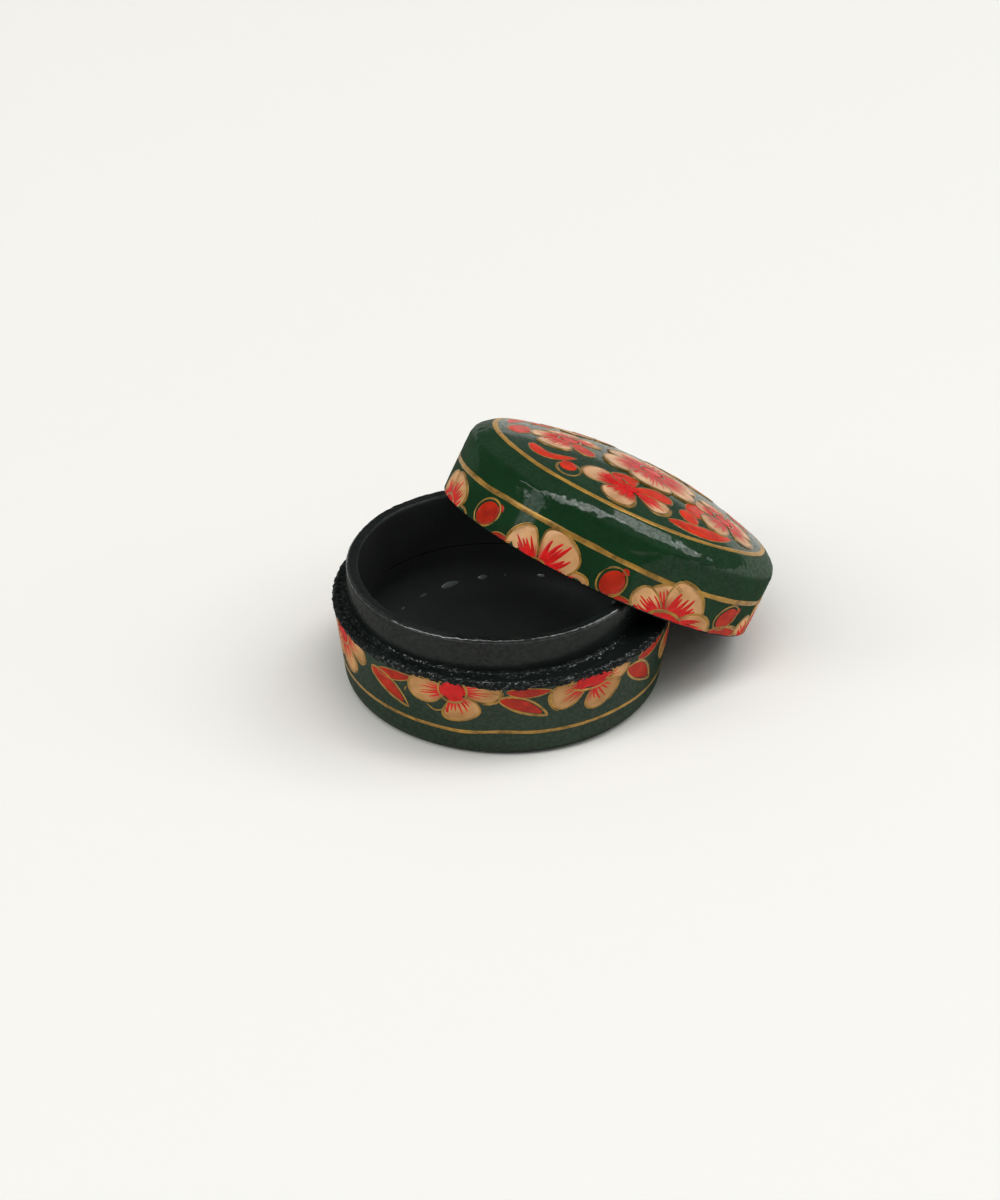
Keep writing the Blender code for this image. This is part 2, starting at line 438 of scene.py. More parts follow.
def lacquer_group():
    """Shader group for hand-laid lacquer: its lumps as a height, its smudges and its flecks."""
    if "Hand-laid lacquer" in bpy.data.node_groups:
        return bpy.data.node_groups["Hand-laid lacquer"]
    tree = bpy.data.node_groups.new("Hand-laid lacquer", "ShaderNodeTree")
    for name, value in (("Wave Scale", 300.0), ("Grain Scale", 1400.0), ("Grain Share", 0.3),
                        ("Smudge Scale", 90.0)):
        socket = tree.interface.new_socket(name=name, in_out="INPUT",
                                           socket_type="NodeSocketFloat")
        socket.default_value = value
    for name in ("Height", "Smudge", "Fleck"):
        tree.interface.new_socket(name=name, in_out="OUTPUT", socket_type="NodeSocketFloat")
    given = add_node(tree, "NodeGroupInput")
    result = add_node(tree, "NodeGroupOutput")
    place = add_node(tree, "ShaderNodeTexCoord")
    blend = add_node(tree, "ShaderNodeMix", data_type="FLOAT")
    textures = []
    for scale, detail in (("Wave Scale", 2.0), ("Grain Scale", 3.0), ("Smudge Scale", 4.0)):
        texture = add_node(tree, "ShaderNodeTexNoise", {"Detail": detail})
        wire(tree, (place, "Object", texture, "Vector"), (given, scale, texture, "Scale"))
        textures.append(texture)
    wave, grain, smudge = textures
    wire(tree, (given, "Grain Share", blend, "Factor"), (wave, "Fac", blend, "A"),
         (grain, "Fac", blend, "B"), (blend, "Result", result, "Height"),
         (smudge, "Fac", result, "Smudge"), (grain, "Fac", result, "Fleck"))
    return tree


def lacquered(name, dark, light, roughness, relief, coat=0.2, metallic=0.0, wave=300.0,
              grain=1400.0, share=0.3, smudge=90.0, flecks=(0.42, 0.58, 0.8, 1.2),
              coat_ior=2.0):
    """A painted surface under thin lacquer, with its colour between dark and light by its smudges.

    The lacquer's gloss varies in flecks: from and to which grain, and the shares of coat there.
    """
    paint = bpy.data.materials.new(name)
    paint.use_nodes = True
    tree = paint.node_tree
    shader = tree.nodes["Principled BSDF"]
    set_inputs(shader, {"Metallic": metallic, "Specular IOR Level": 0.0, "Roughness": 0.6,
                        "Coat Roughness": sum(roughness) / 2.0, "Coat IOR": coat_ior})
    layer = add_node(tree, "ShaderNodeGroup", node_tree=lacquer_group())
    set_inputs(layer, {"Wave Scale": wave, "Grain Scale": grain, "Grain Share": share,
                       "Smudge Scale": smudge})
    ramp = colour_ramp(tree, (0.35, dark), (0.65, light))
    start, end, low, high = flecks
    fleck = map_range(tree, layer, "Fleck", start, end, coat * low, coat * high)
    bump = add_node(tree, "ShaderNodeBump", {"Distance": relief})
    wire(tree, (layer, "Smudge", ramp, "Fac"), (layer, "Height", bump, "Height"),
         (ramp, "Color", shader, "Base Color"), (fleck, "Result", shader, "Coat Weight"),
         (bump, "Normal", shader, "Normal"))
    if metallic:
        gloss = map_range(tree, layer, "Smudge", 0.3, 0.7, *roughness)
        wire(tree, (gloss, "Result", shader, "Roughness"))
    return paint


def shade(value, factor):
    """A colour made darker or lighter."""
    return tuple(channel * factor for channel in value)


def tones(value, low, high):
    """A colour's darker and lighter tone."""
    return shade(value, low), shade(value, high)


def thin_lacquer(paint, share):
    """The paint's lacquer keeps only a share of itself where the mesh's lacquer attribute is 0."""
    tree = paint.node_tree
    coat = tree.nodes["Principled BSDF"].inputs["Coat Weight"]
    thickness = add_node(tree, "ShaderNodeAttribute", attribute_name="lacquer")
    kept = map_range(tree, thickness, "Fac", 0.0, 1.0, share, 1.0)
    product = add_node(tree, "ShaderNodeMath", operation="MULTIPLY")
    tree.links.new(coat.links[0].from_socket, product.inputs[0])
    tree.links.new(kept.outputs["Result"], product.inputs[1])
    tree.links.new(product.outputs["Value"], coat)


def petal_paint(name, cream, coat, coat_ior, red):
    """Cream petals that redden towards the middle of the flower, along their own UV map."""
    c = colours()
    paint = lacquered(name, cream, cream, (0.16, 0.26), 0.010 * MM, coat, coat_ior=coat_ior)
    tree = paint.node_tree
    along = add_node(tree, "ShaderNodeUVMap")
    parts = add_node(tree, "ShaderNodeSeparateXYZ")
    wander = add_node(tree, "ShaderNodeMath", {1: 0.34}, operation="MULTIPLY_ADD")
    ramp = colour_ramp(tree, (red, c.crimson), (0.14 + red, c.blush), (0.32 + red, cream),
                       (0.90, cream), (1.0, shade(cream, 0.66)))
    tints = colour_ramp(tree, (0.34, (0.70, 0.62, 0.52)), (0.66, (1.08, 1.10, 1.12)))
    brushed, toned = (add_node(tree, "ShaderNodeMix", {"Factor": factor}, data_type="RGBA",
                               blend_type="MULTIPLY") for factor in (0.32, 1.0))
    textures = []
    for scale in ((9.0, 1.4, 1.0), (1.7, 1.3, 1.0)):
        stretch = add_node(tree, "ShaderNodeMapping", {"Scale": scale})
        texture = add_node(tree, "ShaderNodeTexNoise", {"Scale": 1.0, "Detail": 2.0})
        wire(tree, (along, "UV", stretch, "Vector"), (stretch, "Vector", texture, "Vector"))
        textures.append(texture)
    streaks, patches = textures
    wire(tree, (along, "UV", parts, "Vector"), (streaks, "Fac", wander, 0),
         (parts, "Y", wander, 2), (wander, "Value", ramp, "Fac"), (ramp, "Color", brushed, "A"),
         (streaks, "Fac", brushed, "B"), (patches, "Fac", tints, "Fac"),
         (brushed, "Result", toned, "A"), (tints, "Color", toned, "B"),
         (toned, "Result", tree.nodes["Principled BSDF"], "Base Color"))
    return paint


def paints():
    """All the finishes by name, made once."""
    c = colours()
    stock = bpy.data.materials
    if "lid_green" in stock:
        return stock
    for name, coat, coat_ior in (("lid_green", 0.19, 3.0), ("crown_green", 0.66, 1.5)):
        lacquered(name, *tones(c.lid_green, 0.80, 1.20), (0.06, 0.13), 0.10 * MM, coat,
                  wave=420.0, grain=1500.0, share=0.10, flecks=(0.38, 0.58, 0.65, 1.15),
                  coat_ior=coat_ior)
    thin_lacquer(stock["lid_green"], 0.38)
    lacquered("base_green", *tones(c.base_green, 0.85, 1.15), (0.22, 0.34), 0.020 * MM, 0.22)
    lacquered("black_lacquer", *tones(c.black, 0.8, 1.2), (0.16, 0.30), 0.030 * MM, 0.17)
    lacquered("lip_lacquer", *tones(c.black, 0.8, 1.2), (0.08, 0.18), 0.030 * MM, 0.55)
    # The hollow and the neck's bore take the inside black, lighter than the black lacquer: painted
    # light in their shade
    lacquered("inside_lacquer_painted_light", *tones(c.inside_black_painted_light, 0.9, 1.1), (0.40, 0.55), 0.030 * MM,
              0.05)
    lacquered("rough_lacquer", *tones(c.black, 0.7, 1.2), (0.06, 0.16), 0.070 * MM, 0.22,
              grain=1500.0, share=0.4, flecks=(0.50, 0.65, 0.25, 1.9))
    # Pale grey lacquer for the floor's drops: painted glints on black
    lacquered("bead_lacquer_painted_glint", srgb(80, 86, 84), srgb(120, 128, 125), (0.14, 0.24), 0.020 * MM,
              0.60)
    # The crown's gold ring is the gold made lighter than elsewhere: painted light
    lacquered("ring_gold_painted_highlight", *tones(c.gold, 0.95, 1.45), (0.22, 0.40), 0.020 * MM, 0.24,
              metallic=0.4, smudge=300.0)
    # The base's petals take the darker cream, painted shade
    for prefix, cream, red, gold, coat, coat_ior, depth in (
            ("side", c.cream, c.vermilion, c.gold, 0.18, 2.0, 0.14),
            ("base", c.base_cream_painted_shade, c.vermilion, c.gold, 0.18, 2.0, 0.16),
            ("crown", c.pale_cream, c.crown_red, shade(c.gold, 0.80), 0.46, 1.5, 0.30)):
        petal_paint(prefix + "_petals", cream, coat, coat_ior, depth)
        lacquered(prefix + "_streaks", *tones(c.crimson, 0.80, 1.15), (0.18, 0.28), 0.010 * MM,
                  coat, smudge=500.0, coat_ior=coat_ior)
        lacquered(prefix + "_leaves", *tones(red, 0.74, 1.15), (0.18, 0.28), 0.012 * MM, coat,
                  smudge=400.0, coat_ior=coat_ior)
        lacquered(prefix + "_gold", *tones(gold, 0.56, 1.22), (0.22, 0.40), 0.020 * MM,
                  coat * 1.4, metallic=0.4, smudge=420.0, coat_ior=coat_ior)
    return stock


# Paint strokes

class Surface:
    """A painted surface: maps flat places in millimetres on to the box."""

    def __init__(self, kind):
        self.kind = kind
        self.seed = BASE_SEED if kind == "base_side" else LID_SEED
        if kind == "base_side":
            self.read = follow([p for p in base_side() if p[1] < sizes().body_height], 1)
        elif kind == "lid_side":
            self.read = follow([p for p in lid_outside() if p[1] < sizes().lid_side_height], 1)
        else:
            self.read = follow([p for p in lid_outside() if p[1] > 13.0 * MM], 0)

    def place(self, x, y, lift):
        """x and y in millimetres: round the side and up it, or across the crown."""
        if self.kind == "crown":
            turn = math.atan2(y, x)
            radius = math.hypot(x, y) * MM
            spot, slope = self.read(radius)
            height = spot.y
        else:
            turn = x * MM / (SIDE_CIRCLE * MM)
            spot, slope = self.read(y * MM)
            radius, height = spot.x, y * MM
        out = radius + slope.x * lift
        point = Vector((out * math.cos(turn), out * math.sin(turn), height + slope.y * lift))
        return hand_made(point, self.seed)


GRIDS = {}


def grid_copy(columns, rows):
    """A copy of the flat grid with so many columns and rows, which is added once."""
    if (columns, rows) not in GRIDS:
        clear_selection()
        bpy.ops.mesh.primitive_grid_add(x_subdivisions=columns, y_subdivisions=rows, size=1.0,
                                        location=(0.0, 0.0, 0.0))
        GRIDS[columns, rows] = bpy.context.object
    master = GRIDS[columns, rows]
    piece = master.copy()
    piece.data = master.data.copy()
    bpy.context.scene.collection.objects.link(piece)
    return piece


def clear_grids():
    """Takes the flat grids away again."""
    for master in GRIDS.values():
        bpy.data.objects.remove(master, do_unlink=True)
    GRIDS.clear()


def dab(surface, shape, lift, rows, narrow=False):
    """One stroke of paint: a grid laid on the surface, raised, with its edge sunk in the ground.

    The shape gives the flat place for a share across, -1 to 1, and a share along, 0 to 1.
    """
    columns = NARROW_COLUMNS if narrow else WIDE_COLUMNS
    last = len(columns) - 1
    piece = grid_copy(last, rows)
    for vertex in piece.data.vertices:
        column = round((vertex.co.x + 0.5) * last)
        row = round((vertex.co.y + 0.5) * rows)
        x, y = shape(columns[column], row / rows)
        edge = column in (0, last) or row in (0, rows)
        crest = CREST * (1.0 - columns[column] ** 2) if narrow else 0.0
        vertex.co = surface.place(x, y, -SINK if edge else lift + crest)
    return piece


def ribbon(points, width):
    """Shape of a stroke along points (x, y), as wide as width(share) says."""
    path = [Vector(point) for point in points]
    marks = [0.0]
    for before, after in zip(path, path[1:]):
        marks.append(marks[-1] + (after - before).length)

    def at(share):
        value = share * marks[-1]
        place = min(max(bisect.bisect(marks, value), 1), len(marks) - 1)
        part = (value - marks[place - 1]) / max(marks[place] - marks[place - 1], 1e-9)
        return path[place - 1].lerp(path[place], part)

    def shape(across, along):
        ahead = at(min(along + 0.02, 1.0)) - at(max(along - 0.02, 0.0))
        side = Vector((ahead.y, -ahead.x)).normalized()
        spot = at(along) + side * across * width(along) / 2.0
        return spot.x, spot.y
    return shape


def bowed(start, end, bow=0.0, steps=8):
    """Points of a path from start to end that bows to its left by a share of its length."""
    start, end = Vector(start), Vector(end)
    way = end - start
    left = Vector((-way.y, way.x))
    return [start + way * (step / steps) + left * bow * math.sin(math.pi * step / steps)
            for step in range(steps + 1)]


def petal_width(share, fullness=0.62, root=0.22):
    """Half-width of a petal as a share of its greatest, from its root to its round tip."""
    if share > fullness:
        past = (share - fullness) / (1.0 - fullness)
        return math.sqrt(max(1.0 - past * past, 0.0))
    return root + (1.0 - root) * math.sin(math.pi / 2.0 * share / fullness)


def leaf_width(share):
    """Half-width of a pointed leaf as a share of its greatest."""
    return math.sin(math.pi * share ** 0.85) ** 0.8 if 0.0 < share < 1.0 else 0.0


def spun(x, y, u, v, tilt):
    """The place of (u, v), turned by tilt about the middle (x, y)."""
    return (x + u * math.cos(tilt) - v * math.sin(tilt),
            y + u * math.sin(tilt) + v * math.cos(tilt))


def heading(degrees):
    """The way in the flat that lies so many degrees round from the right."""
    return Vector((math.cos(math.radians(degrees)), math.sin(math.radians(degrees))))


class Brush:
    """Lays strokes on one surface and keeps them by colour. Its level rises petal by petal."""

    def __init__(self, kind, seed, count=6, reach=0.92, fill=0.175):
        self.surface = Surface(kind)
        self.chance = random.Random(seed)
        self.fan = (count, reach, fill)
        self.layers = {"petals": [], "streaks": [], "leaves": [], "gold": []}
        self.order = 0
        self.level = 0.0

    def lay(self, layer, shape, lift, rows, narrow=False):
        """One dab of a colour, lifted above the brush's level."""
        self.order = (self.order + 1) % TURNS
        rise = (self.level + lift + self.order * TURN_RISE) * MM
        stroke = dab(self.surface, shape, rise, rows, narrow)
        if layer == "petals":
            aside = self.chance.uniform(0.0, 40.0)
            for corner in stroke.data.uv_layers.active.data:
                corner.uv.x += aside
        self.layers[layer].append(stroke)

    def line(self, layer, points, width, lift=STREAK, rows=None, taper=0.25):
        """A drawn line or long stroke, thinner at its ends by the taper."""
        length = sum((Vector(b) - Vector(a)).length for a, b in zip(points, points[1:]))
        uneven = self.chance.uniform(0.0, 10.0)

        def width_at(share):
            thin = min(min(share, 1.0 - share) / taper, 1.0) ** 0.5
            return width * thin * (1.0 + 0.18 * math.sin(uneven + 9.0 * share))
        rows = rows or max(6, round(length / 0.55))
        self.lay(layer, ribbon(points, width_at), lift, rows, True)

    def petal(self, x, y, turn, length, width, root=1.3, fan=None, red=False, heavy=None):
        """One petal: its ground, its red streaks and its gold outline.

        The fan of streaks is their count, how far they reach and how wide each is, as shares.
        """
        way = heading(turn)
        side = Vector((way.y, -way.x))
        base = Vector((x, y)) + way * root
        long = length - root
        ripple = self.chance.uniform(0.0, 6.0)
        fullness = self.chance.uniform(0.60, 0.72)

        def edge(across, share):
            swell = 1.0 + 0.06 * math.sin(ripple + 7.0 * share) * (1.0 if across > 0 else -1.0)
            spot = base + way * long * share
            spot += side * across * width / 2.0 * petal_width(share, fullness) * swell
            return spot

        def ground(across, along):
            spot = edge(across, math.sin(math.pi / 2.0 * along))
            return spot.x, spot.y
        self.lay("leaves" if red else "petals", ground, GROUND, ROWS)
        if not red:
            self.streaks(edge, width, *(fan or self.fan))
        shares = [0.10 + 0.90 * math.sin(math.pi / 2.0 * step / ROWS) for step in range(ROWS + 1)]
        rim = [edge(-1.0, share) for share in shares]
        rim += [edge(1.0, share) for share in shares[-2::-1]]
        gold = sizes().outline_width / MM
        heavy = self.chance.uniform(0.05, 0.45) if heavy is None else heavy
        bias = self.chance.choice((0.25, 0.4, 0.6, 0.75))

        def width_at(share):
            ends = min(share, 1.0 - share) / 0.15
            swell = heavy * math.exp(-((share - bias) / 0.14) ** 2)
            return (gold + swell) * min(ends, 1.0) ** 0.4
        self.lay("gold", ribbon(rim, width_at), OUTLINE, 36, True)
        if self.chance.random() < 0.6 and not red:
            first = self.chance.choice((4, 9, 14))
            middle = base + way * long * 0.5
            outer = [spot + (spot - middle).normalized() * 0.42 for spot in rim[first:first + 11]]
            self.line("gold", outer, 0.34, OUTLINE + 0.001)
        self.level += PETAL_RISE

    def streaks(self, edge, width, count, reach, fill):
        """Pointed red streaks that run together at a petal's root and fan out from there."""
        lean = self.chance.uniform(-0.15, 0.15)
        for number in range(count):
            fan = -1.0 + 2.0 * number / max(count - 1, 1) + self.chance.uniform(-0.10, 0.10)
            first, last = 0.44 * fan + 0.4 * lean, 0.55 * fan + lean
            far = reach * self.chance.uniform(0.80, 1.12) * (1.0 - 0.20 * abs(fan))
            path = [edge(first + (last - first) * step / 8, far * step / 8) for step in range(9)]
            wide = width * fill * self.chance.uniform(0.85, 1.15)
            self.lay("streaks", ribbon(path, lambda t, w=wide: w * (1.0 - t ** 2.2) ** 0.8 + 0.02),
                     STREAK, 10, True)
        if self.chance.random() < 0.5:
            across = self.chance.choice((-0.78, 0.78))
            path = [edge(across, 0.04 + 0.62 * step / 6) for step in range(7)]
            self.line("streaks", path, width * 0.10, STREAK - 0.002, 9)

    def disc(self, x, y, radius, stretch=1.0, turn=0.0, layer="leaves", lift=DISC, ring=0.45,
             ring_radius=None):
        """A round or oval dab with a gold ring."""
        def ground(across, along):
            share = -math.cos(math.pi * along)
            half = math.sqrt(max(1.0 - share * share, 0.0))
            return spun(x, y, radius * stretch * share, -radius * half * across,
                        math.radians(turn))
        self.lay(layer, ground, lift, ROWS)
        if ring:
            self.hoop(x, y, ring_radius or radius + 0.35, stretch, turn, ring)

    def leaf(self, start, end, width, bow=0.0, outline=0.45, halo=0.35, over=0.0):
        """A pointed leaf with a gold outline a little off its edge, which may run past its end."""
        points = bowed(start, end, bow, 12)
        self.lay("leaves", ribbon(points, lambda t: width * leaf_width(t)), GROUND, ROWS)
        loop = points + [points[-1] + (points[-1] - points[-2]).normalized() * over]
        whole = ribbon(loop if over else points, lambda t: (width + halo) * leaf_width(t))
        shares = [step / ROWS for step in range(ROWS + 1)]
        rim = [whole(-1.0, t) for t in shares] + [whole(1.0, t) for t in shares[-2::-1]]
        self.line("gold", rim, outline, STREAK + 0.002, 40, taper=0.05)

    def bud(self, x, y, turn, length, width):
        """An oval red bud in a loose gold ring that sits a little aside, with a small red tip."""
        self.disc(x, y, width / 2.0 * 0.93, length / width, turn, ring=0)
        self.hoop(x - 0.16, y + 0.14, width / 2.0 + 0.22, length / width, turn, 0.44)
        way = heading(turn)
        root = Vector((x, y)) + way * length * 0.42
        self.line("leaves", bowed(root, root + way * 1.7, 0.0, 3), 2.6, STREAK - 0.002, 5, 0.9)

    def hoop(self, x, y, radius, stretch, turn, width, start=None, sweep=1.02):
        """A gold ring or part of one, round a place."""
        tilt = math.radians(turn)
        start = self.chance.uniform(0.0, math.tau) if start is None else math.radians(start)
        turns = [start + math.tau * sweep * step / 40 for step in range(41)]
        points = [spun(x, y, radius * stretch * math.cos(angle), radius * math.sin(angle), tilt)
                  for angle in turns]
        self.line("gold", points, width, HOOP, 40, taper=0.08)

    def gather(self, layer, name, material, trim=(), matrix=None):
        """Joins a colour's strokes into one piece, trims it and gives it its thickness."""
        strokes = self.layers[layer]
        clear_grids()
        clear_selection()
        for stroke in strokes:
            stroke.select_set(True)
        bpy.context.view_layer.objects.active = strokes[0]
        if len(strokes) > 1:
            bpy.ops.object.join()
        piece = bpy.context.view_layer.objects.active
        piece.name = piece.data.name = name
        thicken(piece, PAINT_DEPTH, trim)
        bpy.ops.object.shade_smooth_by_angle(angle=SHARP_EDGE)
        piece.data.materials.append(paints()[material])
        if matrix:
            settle(piece, matrix)
        return piece

    def pieces(self, prefix, finish, leaves="leaves", trim=(), matrix=None):
        """One piece for each colour in turn, named for its place."""
        for layer, ending in (("petals", "petals"), ("streaks", "streaks"), ("leaves", leaves),
                              ("gold", "outlines")):
            yield self.gather(layer, prefix + ending, finish + layer, trim, matrix)


def around(degrees):
    """Millimetres round the side for an angle."""
    return math.radians(degrees) * SIDE_CIRCLE


def flower(brush, x, y, petals, disc=2.1, ring=0.55, stretch=1.0, level=0.02):
    """A flower: its petals, each (turn, length, width), then its red middle in a gold ring."""
    brush.level = level
    for turn, length, width in petals:
        brush.petal(x, y, turn, length, width)
    brush.disc(x, y, disc, stretch, ring=ring, ring_radius=disc + 0.6, layer="streaks")
    brush.level = 0.0


# Heights or radii of the gold lines in millimetres, every 15 degrees round from the right
BASE_LINE = (5.2, 5.3, 5.5, 5.6, 5.4, 5.2, 5.4, 5.7, 5.8, 5.5, 5.3, 5.4, 5.6, 5.6, 5.6, 5.6, 5.5,
             5.35, 5.95, 5.5, 5.4, 5.4, 5.1, 5.0)
LID_LINE = (7.2, 7.3, 7.4, 7.3, 7.1, 7.0, 7.2, 7.5, 7.6, 7.4, 7.2, 7.1, 7.2, 7.1, 7.1, 7.5, 7.6,
            7.55, 7.3, 7.05, 7.2, 7.2, 7.3, 7.2)
CROWN_LINE = (28.1, 28.2, 28.3, 28.5, 28.4, 28.2, 28.1, 28.2, 28.4, 28.5, 28.4, 28.3, 28.3, 28.4,
              28.6, 28.8, 28.7, 28.6, 28.5, 28.3, 28.0, 27.8, 27.9, 28.0)

# Motifs, as (turn in degrees, length, width) of petals in millimetres
FIVE = ((150.0, 8.6, 6.4), (8.0, 9.2, 5.0), (75.0, 9.0, 8.2), (218.0, 8.6, 6.2), (292.0, 7.4, 7.4))

# Place round the side: height of the middle, its radius, stretch and ring, then the petals
LID_FLOWERS = {
    -168.0: (-1.4, 2.2, 1.1, 0.55, ((5.0, 8.8, 4.0), (128.0, 7.6, 7.0), (62.0, 7.6, 7.8))),
    -117.0: (-1.7, 1.8, 1.1, 0.55, ((12.0, 10.6, 3.6), (141.0, 8.7, 7.2), (59.0, 9.4, 9.2))),
    -68.3: (-0.8, 2.0, 1.6, 0.95, ((118.0, 8.0, 6.8), (64.0, 9.0, 9.8), (152.0, 9.2, 5.6),
                                   (8.0, 10.8, 6.0))),
}
LID_HIDDEN = (-17.0, 35.0, 87.0, 140.0)
# Place round the side of each bud: its height, turn, length and width
LID_BUDS = {-143.4: (3.0, 38.0, 6.3, 4.7), -91.3: (2.8, 62.0, 5.7, 4.9),
            -41.6: (3.7, 30.0, 6.4, 4.1), 9.0: (3.3, 45.0, 6.0, 4.4), 61.0: (2.9, 130.0, 5.8, 4.2),
            113.0: (3.4, 48.0, 6.0, 4.2), 165.5: (3.0, 60.0, 5.6, 4.2)}

BASE_FLOWERS = {
    -160.0: (15.6, 2.0, 1.1, 0.6, ((222.0, 9.2, 6.8), (-8.0, 9.0, 4.8), (290.0, 8.4, 6.6))),
    -107.0: (14.9, 2.2, 1.0, 0.6, ((4.0, 9.3, 4.8), (191.0, 9.3, 5.8), (290.0, 7.0, 7.8))),
    -58.5: (15.6, 1.5, 2.3, 0.6, ((0.0, 9.0, 4.6), (204.0, 8.9, 5.8), (303.0, 7.4, 8.0))),
}
BASE_HIDDEN = (-7.0, 44.0, 96.0, 149.0)
# Drops of lacquer in the corner of the floor, pale grey as painted glints: turn and half length in
# degrees, and swell
FLOOR_DROPS = ((140.0, 2.6, 0.19), (126.0, 3.4, 0.22), (112.0, 4.2, 0.43), (96.0, 2.2, 0.37),
               (86.0, 1.6, 0.19), (70.0, 3.6, 0.19), (28.0, 2.4, 0.30), (-15.0, 2.0, 0.26),
               (-70.0, 3.4, 0.36), (-128.0, 2.2, 0.30), (172.0, 2.4, 0.24))
# Leaves and long strokes: place round the side and height of both ends, and the width
BASE_LEAVES = ((-141.0, 13.6, -126.0, 8.8, 3.2), (-91.5, 13.7, -76.0, 10.0, 2.7),
               (-43.0, 14.4, -28.5, 8.6, 3.2), (9.0, 13.6, 23.5, 9.2, 3.0),
               (60.0, 13.7, 75.0, 9.6, 2.9), (112.0, 13.6, 127.5, 9.0, 3.1),
               (165.5, 13.8, 180.0, 9.4, 2.9))
BASE_STROKES = ((-138.0, 13.9, -121.0, 15.6, 2.2), (-89.0, 15.6, -73.0, 15.3, 2.1),
                (-38.0, 15.4, -20.0, 16.0, 2.4), (12.0, 15.5, 29.0, 15.6, 2.1),
                (64.0, 15.5, 80.0, 15.7, 2.1), (116.0, 15.4, 132.0, 15.7, 2.1),
                (168.0, 15.5, 184.0, 15.6, 2.1))


class BOX_OT_base_body(bpy.types.Operator):
    """Moulded base: green outside, black on the shoulder and in the hollow"""
    bl_idname = "box.base_body"
    bl_label = "Base"

    def execute(self, context):
        s = sizes()
        cx, cy = NECK_CENTRE.xy
        seat, seat_height = s.neck_radius + SEAT_GAP, NECK_LOW.z - SEAT_GAP
        hollow = [(seat, s.body_height), (seat, seat_height), (s.neck_bore, seat_height)]
        hollow += arc((s.neck_bore - s.floor_round, s.floor_height + s.floor_round),
                      (s.floor_round, s.floor_round), 0.0, -90.0)
        hollow += [(r * MM, s.floor_height) for r in (14.0, 7.0, 0.3)]
        outline = [(r * MM, 0.0) for r in (0.3, 10.0, 20.0)] + base_side()
        outline += [(r, z, cx, cy) for r, z in hollow]
        piece = ring_by_ring("base_body", outline, 256)
        for vertex in piece.data.vertices:
            if vertex.co.z > 0.5 * MM:
                vertex.co = hand_made(vertex.co, BASE_SEED)
        smooth(piece)
        stock = paints()

        def choose(face):
            spot, slope = face.center, face.normal
            if spot.z > s.body_height - 1.2 * MM:
                return 1
            radius = math.hypot(spot.x, spot.y)
            outwards = (slope.x * spot.x + slope.y * spot.y) / radius
            inside = radius < s.foot_radius - 0.2 * MM and spot.z > 1.0 * MM
            return 2 if inside or (outwards < 0.2 and slope.z > -0.5) else 0
        # Faces in the hollow take the inside black with its painted light
        paint_faces(piece, [stock["base_green"], stock["black_lacquer"], stock["inside_lacquer_painted_light"]],
                    choose)
        finish_piece(piece, "base", "base_lacquer", "base_shell")
        return {"FINISHED"}


class BOX_OT_neck(bpy.types.Operator):
    """Neck ring with its uneven lip"""
    bl_idname = "box.neck"
    bl_label = "Neck"

    def execute(self, context):
        s = sizes()
        lip, bottom, uneven = 0.6 * MM, NECK_LOW.z, 1.2 * MM
        outline = [(s.neck_bore, bottom), (s.neck_radius, bottom)]
        outline += run((s.neck_radius, bottom), (s.neck_radius, s.neck_top - 0.5 * MM), 12)
        outline += [(s.neck_radius - across * MM, s.neck_top - down * MM) for across, down in (
            (0.0, 0.50), (0.02, 0.40), (0.08, 0.30), (0.17, 0.20), (0.27, 0.11), (0.38, 0.04),
            (0.50, 0.0))]
        outline += arc((s.neck_bore + lip, s.neck_top - lip), (lip, lip), 90.0, 180.0, 8)
        outline += run((s.neck_bore, s.neck_top - lip), (s.neck_bore, bottom), 10)
        piece = ring_by_ring("neck_lacquered", outline, 480, joined=True)
        for vertex in piece.data.vertices:
            outer = math.hypot(vertex.co.x, vertex.co.y) > s.neck_radius - 0.5 * MM
            share = fade(vertex.co.z, s.neck_top - uneven, uneven)
            lump = noise.noise_vector(vertex.co / (1.1 * MM)) * 0.10 * MM * share
            rise = (0.14 * bumps(vertex.co, 5.0) + (0.10 if outer else 0.0)) * MM * share
            lump += NECK_CENTRE + Vector((0.0, 0.0, rise))
            vertex.co = hand_made(vertex.co + lump, BASE_SEED)
        smooth(piece)
        stock = paints()

        def choose(face):
            spot = face.center - NECK_CENTRE
            outwards = face.normal.x * spot.x + face.normal.y * spot.y
            if outwards < -0.6 * spot.xy.length:
                return 1
            brim = spot.z > s.neck_top - 0.5 * MM and spot.xy.length > s.neck_radius - 0.6 * MM
            return 2 if brim else 0
        # The neck's bore takes the inside black with its painted light
        paint_faces(piece, [stock["black_lacquer"], stock["inside_lacquer_painted_light"], stock["lip_lacquer"]],
                    choose)
        finish_piece(piece, "base", "neck_lacquer", "neck_ring")
        return {"FINISHED"}


